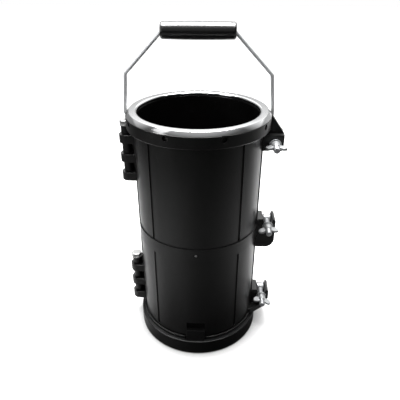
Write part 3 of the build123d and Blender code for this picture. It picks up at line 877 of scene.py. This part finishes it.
@dataclass
class BoltThread:
    """A rolled screw thread, made along +Z from where it starts."""

    radius: float = 4.0 * MM
    depth: float = 0.62 * MM
    pitch: float = 1.25 * MM
    chamfer: float = 1.0 * MM
    crest_share: float = 1 / 8
    spare_turns: int = 2
    steps: int = 32
    weld: float = 0.01 * MM
    blank_share: float = 1.02

    def model(self, length: float) -> Piece:
        """Model a length of thread with a chamfered end.

        Args:
            length: How long it is.

        Returns:
            The thread at the origin.
        """
        bpy.ops.object.select_all(action="DESELECT")
        bpy.ops.mesh.primitive_plane_add(size=self.pitch)
        thread = bpy.context.object
        bpy.ops.object.mode_set(mode="EDIT")
        bpy.ops.mesh.select_mode(type="VERT")
        bpy.ops.mesh.select_all(action="SELECT")
        bpy.ops.mesh.merge(type="CENTER")
        bpy.ops.transform.translate(value=(self.radius - self.depth, 0, -self.spare_turns * self.pitch))
        crest = self.pitch * self.crest_share
        flank = (self.pitch - 2 * crest) / 2
        for out, up in ((self.depth, flank), (0, crest), (-self.depth, flank), (0, crest)):
            extrude(out, 0, up)
        bpy.ops.object.mode_set(mode="OBJECT")
        apply_modifier(
            thread,
            "SCREW",
            axis="Z",
            angle=2 * math.pi,
            screw_offset=self.pitch,
            iterations=math.ceil(length / self.pitch) + 2 * self.spare_turns,
            steps=self.steps,
            render_steps=self.steps,
            use_merge_vertices=True,
            merge_threshold=self.weld,
        )
        self._close(thread)
        combine(thread, self._blank(length), "INTERSECT", "EXACT")
        return thread

    def _close(self, thread: Piece) -> None:
        """Merge the turns of a thread, cap its ends and turn its faces outward."""
        only(thread)
        open_edit()
        bpy.ops.mesh.remove_doubles(threshold=self.weld)
        bpy.ops.mesh.fill_holes(sides=0)
        bpy.ops.mesh.select_all(action="SELECT")
        bpy.ops.mesh.quads_convert_to_tris()
        close_edit()

    def _blank(self, length: float) -> Piece:
        """The round blank that the thread's ends are trimmed to."""
        blank = start_bar(2 * self.steps, self.blank_share * self.radius, length)
        bpy.ops.transform.translate(value=(0, 0, -self.chamfer))
        extrude(0, 0, self.chamfer)
        narrow(1 - self.chamfer / self.radius)
        bpy.ops.object.mode_set(mode="OBJECT")
        return blank


@dataclass
class Clamps:
    """Swing bolts, pins, washers and wing nuts of the three clamps."""

    bolt_finish: MetalFinish
    nut_finish: MetalFinish
    edge: float = 0.4 * MM
    plain_shank: float = 13.0 * MM

    def build(self, groups: EffectGroups) -> None:
        """Build the pieces of each clamp."""
        bolt_zinc = self.bolt_finish.material(groups)
        nut_zinc = self.nut_finish.material(groups)
        pattern = WingNut().model()
        for place in ClampPlace:
            for part in ("cross_pin", "washer"):
                node = f"{place.value}_{part}"
                piece = rounded_copy(node, f"{place.value}_clamp_{part}", EdgeRounding(self.edge))
                dress(piece, bolt_zinc)
                LOG.info("piece %s", piece.name)
            bolt = self._bolt(place)
            dress(bolt, bolt_zinc)
            nut = self._nut(place, pattern)
            dress(nut, nut_zinc)
            LOG.info("pieces %s, %s", bolt.name, nut.name)
        bpy.data.objects.remove(pattern)

    def _bolt(self, place: ClampPlace) -> Piece:
        """A swing bolt: the eye and plain shank of the CAD node, carried on by a modelled thread.

        Args:
            place: The clamp.

        Returns:
            The bolt, riding on its body.
        """
        name = f"{place.value}_clamp_eye_bolt"
        bolt = rounded_copy(f"{place.value}_eye_bolt", name, EdgeRounding(self.edge))
        low, high = mesh_box(bolt.data)
        only(bolt)
        open_edit()
        bpy.ops.mesh.bisect(
            plane_co=(0, -self.plain_shank, 0), plane_no=(0, 1, 0), clear_inner=True, use_fill=True
        )
        bpy.ops.object.mode_set(mode="OBJECT")
        thread = BoltThread().model(-self.plain_shank - low.y)
        middle = (low + high) / 2
        thread.data.transform(Matrix.Translation((middle.x, -self.plain_shank, middle.z)) @ UP_TO_FRONT)
        only(bolt)
        thread.select_set(True)
        bpy.ops.object.join()
        shade(bolt)
        return bolt

    def _nut(self, place: ClampPlace, pattern: Piece) -> Piece:
        """A copy of the modelled wing nut, set on its bolt and turned as the clamp is done up.

        Args:
            place: The clamp.
            pattern: The modelled nut.

        Returns:
            The nut, riding on its body.
        """
        node = f"{place.value}_wing_nut"
        source = frame["nodes"][node]
        low, high = mesh_box(frame["nodes"][f"{place.value}_eye_bolt"].data)
        seat = mesh_box(source.data)[1].y
        nut = own_copy(pattern, f"{place.value}_clamp_wing_nut")
        turn = UP_TO_FRONT @ Matrix.Rotation(NUT_TURNS[place], 4, "Z")
        middle = (low + high) / 2
        nut.data.transform(Matrix.Translation((middle.x, seat, middle.z)) @ turn)
        shade(nut)
        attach(nut, source["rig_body"])
        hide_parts(node)
        return nut


@dataclass
class Bail:
    """The wire bail and its tube grip."""

    wire_finish: MetalFinish
    grip_finish: PlasticFinish
    wire_edge: float = 0.2 * MM
    grip_edge: float = 0.4 * MM

    def build(self, groups: EffectGroups) -> None:
        """Build the wire and the grip."""
        wire = rounded_copy("bail_wire", "bail_bent_wire", EdgeRounding(self.wire_edge))
        dress(wire, self.wire_finish.material(groups))
        grip = rounded_copy("bail_grip", "bail_tube_grip", EdgeRounding(self.grip_edge))
        dress(grip, self.grip_finish.material(groups))
        LOG.info("pieces %s, %s", wire.name, grip.name)


@dataclass
class Softbox:
    """One soft area light, aimed at a point."""

    name: str
    place: Triple
    aim: Triple
    size: Span
    radiance: float
    reach: LightReach = LightReach.ALL

    def build(self) -> None:
        """Add the light to the scene."""
        data = bpy.data.lights.new(self.name, "AREA")
        data.shape = "RECTANGLE"
        data.size, data.size_y = self.size
        data.energy = self.radiance * math.pi * data.size * data.size_y
        light = bpy.data.objects.new(self.name, data)
        direction = Vector(self.aim) - Vector(self.place)
        light.location = self.place
        light.rotation_euler = direction.to_track_quat("-Z", "Y").to_euler()
        light.visible_glossy = self.reach is not LightReach.MATT
        light.visible_diffuse = self.reach is not LightReach.SHEEN
        bpy.context.scene.collection.objects.link(light)


@dataclass(frozen=True)
class FloorFinish:
    """Pale paper floor: white where the camera sees it, with a painted contact shadow near the mould, and
    painted light and shade in reflections, darker towards the camera's side.

    Headings are in degrees about the middle: 0 towards the front, 90 towards the right. A span is a range of
    distances from the middle, and a fade one of how far a direction agrees with a heading or a side.
    """

    name: str = "floor_paper"
    pale: float = 0.90
    fibre_depth: float = 0.02
    fibre_scale: float = 220.0
    roughness: float = 0.95
    contact_shadow_tone: float = 0.10
    contact_shadow_reach: float = 28 * MM
    glow: float = 0.55
    dark_heading: float = 15.0
    front_share: float = 0.2
    back_share: float = 2.0
    near: float = 0.15
    far: float = 0.75
    near_share: float = 0.62
    far_share: float = 0.14
    front_fade: Span = (0.0, 0.6)
    front_near: float = -0.8
    near_span: Span = (0.13, 0.27)
    front_middle: float = 0.4
    rise_span: Span = (0.27, 0.38)
    fall_span: Span = (0.5, 0.75)
    bright_heading: float = 165.0
    bright_fade: Span = (0.45, 0.98)
    right_fade: Span = (-0.15, 0.25)
    right_span: Span = (0.45, 0.75)
    right_lift: Span = (1.2, 5.2)
    left_heading: float = -90.0
    left_dim: float = -0.48
    dim_fade: Span = (0.5, 1.0)
    left_fade: Span = (-0.3, 0.1)
    left_span: Span = (0.5, 0.78)
    left_shift: Span = (0.2, -0.35)

    def material(self) -> Material:
        """Build the material.

        Returns:
            The new material.
        """
        tree = SurfaceTree(self.name)
        seen = tree.add("ShaderNodeLightPath").outputs["Is Camera Ray"]
        pattern = tree.noise(tree.where, self.fibre_scale)
        fibre = tree.spread(pattern, *NOISE_SPAN, self.pale - self.fibre_depth, self.pale)
        # Painted contact shadow: where the camera sees it, the floor is darkened near the mould by ambient
        # occlusion.
        near = tree.add("ShaderNodeAmbientOcclusion", {"Distance": self.contact_shadow_reach}).outputs["AO"]
        painted_contact_shadow = tree.spread(near, 0.0, 1.0, self.contact_shadow_tone, 1.0)
        # Camera rays see the painted contact shadow; reflections see the painted light and shade of the
        # floor by direction and distance.
        tone = tree.math("MULTIPLY", fibre, tree.blend(seen, self._painted_reflection_light(tree), painted_contact_shadow))
        tree.feed(
            Base_Color=tone,
            Emission_Color=tone,
            Emission_Strength=tree.math("MULTIPLY", seen, self.glow),
            Roughness=self.roughness,
            Specular_IOR_Level=0.0,
        )
        return tree.material

    def _painted_reflection_light(self, tree: SurfaceTree) -> Socket:
        """Painted light and shade: how bright the floor is in reflections, by its direction and distance
        from the middle.

        Args:
            tree: The tree to add to.

        Returns:
            A share of the floor's own brightness.
        """
        way = tree.vector("NORMALIZE", tree.where).outputs["Vector"]
        reach = tree.vector("LENGTH", tree.where).outputs["Value"]
        facing = self._facing(tree, way, self.dark_heading)
        by_heading = tree.spread(facing, -1.0, 1.0, self.back_share, self.front_share)
        by_reach = tree.spread(reach, self.near, self.far, self.near_share, self.far_share)
        base = tree.math("MULTIPLY", by_heading, by_reach)
        sides = tree.math("ADD", self._right_lift(tree, way, reach), self._left_shift(tree, way, reach))
        frontness = tree.spread(facing, *self.front_fade, 0.0, 1.0)
        front = tree.math("MULTIPLY", frontness, self._front_shift(tree, reach))
        lift = tree.math("ADD", sides, front)
        return tree.math("MULTIPLY", base, tree.math("ADD", lift, 1.0))

    @staticmethod
    def _facing(tree: ShaderTree, way: Socket, heading: float) -> Socket:
        """How far a direction on the floor agrees with a heading, from -1 to 1."""
        angle = math.radians(heading)
        return tree.vector("DOT_PRODUCT", way, (math.sin(angle), -math.cos(angle), 0.0)).outputs["Value"]

    def _front_shift(self, tree: ShaderTree, reach: Socket) -> Socket:
        """How much darker close by, and brighter half way out, the floor is in front."""
        close = tree.spread(reach, *self.near_span, self.front_near, 0.0)
        rising = tree.spread(reach, *self.rise_span, 0.0, self.front_middle)
        falling = tree.spread(reach, *self.fall_span, 1.0, 0.0)
        return tree.math("ADD", close, tree.math("MULTIPLY", rising, falling))

    def _right_lift(self, tree: ShaderTree, way: Socket, reach: Socket) -> Socket:
        """How much brighter the floor is behind on the right, more so far out."""
        facing = self._facing(tree, way, self.bright_heading)
        by_heading = tree.spread(facing, *self.bright_fade, 0.0, 1.0)
        right = tree.spread(tree.parts(way)["X"], *self.right_fade, 0.0, 1.0)
        by_reach = tree.spread(reach, *self.right_span, *self.right_lift)
        return tree.math("MULTIPLY", by_reach, tree.math("MULTIPLY", by_heading, right))

    def _left_shift(self, tree: ShaderTree, way: Socket, reach: Socket) -> Socket:
        """How much brighter or darker the floor is on the left: by distance, and dimmest at a heading."""
        facing = self._facing(tree, way, self.left_heading)
        dim = tree.spread(facing, *self.dim_fade, 0.0, self.left_dim)
        left = tree.spread(tree.parts(way)["X"], *self.left_fade, 1.0, 0.0)
        by_reach = tree.spread(reach, *self.left_span, *self.left_shift)
        return tree.math("ADD", tree.math("MULTIPLY", left, by_reach), dim)


@dataclass(frozen=True)
class RoomFinish:
    """Surroundings seen in reflections: bright behind, dim in front, darkest at the front right.

    Rises and fades are ranges of a direction's part up, back or across, from -1 to 1.
    """

    front: Span = (0.14, 0.62)
    front_rise: Span = (0.64, 0.93)
    back: Span = (0.62, 1.9)
    back_rise: Span = (0.285, 0.335)
    back_fade: Span = (0.0, 0.6)
    front_fade: Span = (0.1, 0.7)
    low_fade: Span = (0.3, 0.75)
    right_share: float = 0.25
    right_fade: Span = (0.05, 0.5)
    left_share: float = 0.5
    left_fade: Span = (-0.6, -0.2)
    seen: float = 1.0

    def build(self) -> None:
        """Build the world and make it the scene's."""
        world = bpy.data.worlds.new("studio_room")
        bpy.context.scene.world = world
        world.use_nodes = True
        tree = ShaderTree(world.node_tree)
        backdrop = world.node_tree.nodes["Background"]
        where = tree.add("ShaderNodeTexCoord").outputs["Generated"]
        seen = tree.add("ShaderNodeLightPath").outputs["Is Camera Ray"]
        parts = tree.parts(where)
        front = tree.spread(parts["Z"], *self.front_rise, *self.front)
        back = tree.spread(parts["Z"], *self.back_rise, *self.back)
        depth = tree.spread(parts["Y"], *self.back_fade, front, back)
        rightness = tree.spread(parts["X"], *self.right_fade, 0.0, 1.0)
        frontness = tree.spread(parts["Y"], *self.front_fade, 1.0, 0.0)
        lowness = tree.spread(parts["Z"], *self.low_fade, 1.0, 0.0)
        corner = tree.math("MULTIPLY", tree.math("MULTIPLY", rightness, frontness), lowness)
        right = tree.spread(corner, 0.0, 1.0, 1.0, self.right_share)
        leftness = tree.spread(parts["X"], *self.left_fade, 1.0, 0.0)
        left = tree.spread(tree.math("MULTIPLY", leftness, lowness), 0.0, 1.0, 1.0, self.left_share)
        level = tree.math("MULTIPLY", depth, tree.math("MULTIPLY", left, right))
        strength = tree.blend(seen, level, self.seen)
        world.node_tree.links.new(strength, backdrop.inputs["Strength"])
        backdrop.inputs["Color"].default_value = (1.0, 1.0, 1.0, 1.0)


@dataclass
class Studio:
    """Pale floor, soft light and the camera."""

    floor_half: float = 6.0
    target: Triple = (2.02 * MM, 0.0, 201.66 * MM)
    distance: float = 570.81 * MM
    elevation: float = 29.07
    azimuth: float = 2.6
    roll: float = 0.10
    lens: float = 37.544
    sensor: float = 36.0

    def build(self) -> None:
        """Build the floor, the lights, the world and the camera."""
        self._floor()
        RoomFinish().build()
        self._camera()
        for light in LIGHTS:
            light.build()
        bpy.context.scene.view_settings.view_transform = "Standard"

    def _floor(self) -> None:
        """A wide floor."""
        bpy.ops.object.select_all(action="DESELECT")
        bpy.ops.mesh.primitive_grid_add(x_subdivisions=8, y_subdivisions=8, size=2 * self.floor_half)
        floor = bpy.context.object
        floor.name = "studio_floor"
        floor.data.materials.append(FloorFinish().material())

    def _camera(self) -> None:
        """A camera at the photograph's viewing angle."""
        rise, turn = math.radians(self.elevation), math.radians(self.azimuth)
        back = Vector((math.sin(turn) * math.cos(rise), -math.cos(turn) * math.cos(rise), math.sin(rise)))
        data = bpy.data.cameras.new("photo_camera")
        data.lens = self.lens
        data.sensor_width = self.sensor
        data.sensor_fit = "HORIZONTAL"
        data.clip_start = 0.01
        camera = bpy.data.objects.new("photo_camera", data)
        right = Vector((0, 0, 1)).cross(back).normalized()
        up = back.cross(right)
        axes = Matrix((right, up, back)).transposed()
        camera.matrix_world = (
            Matrix.Translation(Vector(self.target) + back * self.distance)
            @ axes.to_4x4()
            @ Matrix.Rotation(math.radians(self.roll), 4, "Z")
        )
        bpy.context.scene.collection.objects.link(camera)
        bpy.context.scene.camera = camera


LIGHTS = (
    Softbox(
        name="overhead",
        place=(-0.05, 0.0, 1.46),
        aim=(-0.05, 0.0, 0.0),
        size=(0.75, 0.64),
        radiance=18.0,
        reach=LightReach.MATT,
    ),
    Softbox(
        name="ceiling",
        place=(-0.1, 0.08, 1.4),
        aim=(-0.1, 0.08, 0.0),
        size=(1.2, 0.82),
        radiance=22.0,
        reach=LightReach.SHEEN,
    ),
    Softbox(
        name="patch_left",
        place=(-0.71, -0.30, 1.04),
        aim=(-0.04, -0.08, 0.33),
        size=(0.32, 0.32),
        radiance=1.2,
        reach=LightReach.SHEEN,
    ),
    Softbox(
        name="window_left",
        place=(-0.95, -0.70, 0.60),
        aim=(0.0, 0.0, 0.33),
        size=(0.5, 0.8),
        radiance=2.6,
    ),
)
BLACK_SHELL = PlasticFinish(
    name="black_shell_plastic",
    dark=0.0025,
    pale=0.005,
    roughness=0.34,
    specular=0.5,
    grain_scale=1400.0,
    grain_height=0.03 * MM,
    bore=75.2 * MM,
    pocket=(12.7 * MM, 41.5 * MM, 52.3 * MM),
)
# Pale grey nub: partly the whitened plastic where the gate tore, partly a painted highlight for the light
# that the gate mark catches.
TORN_GATE_AND_HIGHLIGHT = PlasticFinish(
    name="torn_gate_plastic",
    dark=0.2,
    pale=0.3,
    roughness=0.5,
    specular=0.4,
    grain_scale=2400.0,
    grain_height=0.05 * MM,
)
BLACK_BASE = PlasticFinish(
    name="black_base_plastic",
    dark=0.0025,
    pale=0.005,
    roughness=0.38,
    specular=0.45,
    grain_scale=1200.0,
    grain_height=0.03 * MM,
)
BLACK_GRIP = PlasticFinish(
    name="black_grip_plastic",
    dark=0.003,
    pale=0.005,
    roughness=0.3,
    specular=0.2,
    grain_scale=1000.0,
    grain_height=0.006 * MM,
    coat=1.0,
    coat_span=(410 * MM, 420 * MM),
)
RING_STEEL = MetalFinish(
    name="ring_steel_finish",
    bright=(0.66, 0.665, 0.67),
    dull=(0.61, 0.615, 0.62),
    roughness=0.12,
    lines=True,
    line_height=0.012 * MM,
    smudge_rough=0.03,
)
# Nearly black steel: partly blackened screw steel, partly painted shade for the dark of the recessed screw
# holes.
SCREW_STEEL_AND_HOLE_SHADE = MetalFinish(
    name="screw_steel_finish",
    bright=(0.12, 0.12, 0.12),
    dull=(0.07, 0.07, 0.07),
    roughness=0.32,
)
HINGE_STEEL = MetalFinish(
    name="hinge_steel_finish",
    bright=(0.46, 0.46, 0.455),
    dull=(0.36, 0.36, 0.355),
    roughness=0.34,
    metallic=0.45,
)
BOLT_ZINC = MetalFinish(
    name="bolt_zinc_finish",
    bright=(0.50, 0.51, 0.52),
    dull=(0.40, 0.41, 0.42),
    roughness=0.36,
    metallic=0.4,
)
NUT_ZINC = MetalFinish(
    name="wing_nut_zinc_finish",
    bright=(0.50, 0.51, 0.515),
    dull=(0.40, 0.41, 0.415),
    roughness=0.42,
    line_scale=700.0,
    line_height=0.05 * MM,
    metallic=0.35,
)
WIRE_STEEL = MetalFinish(
    name="wire_steel_finish",
    bright=(0.66, 0.67, 0.68),
    dull=(0.55, 0.56, 0.57),
    roughness=0.38,
    line_height=0.02 * MM,
    metallic=0.3,
)


def main() -> None:
    """Build every sub-assembly in order, then the studio."""
    logging.basicConfig(level=logging.INFO, format="%(name)s: %(message)s")
    groups = EffectGroups()
    Base(BLACK_BASE).build(groups)
    Shells(BLACK_SHELL, TORN_GATE_AND_HIGHLIGHT).build(groups)
    Rim(RING_STEEL, SCREW_STEEL_AND_HOLE_SHADE).build(groups)
    Hinges(HINGE_STEEL).build(groups)
    Clamps(BOLT_ZINC, NUT_ZINC).build(groups)
    Bail(WIRE_STEEL, BLACK_GRIP).build(groups)
    Studio().build()


if __name__ == "__main__":
    main()
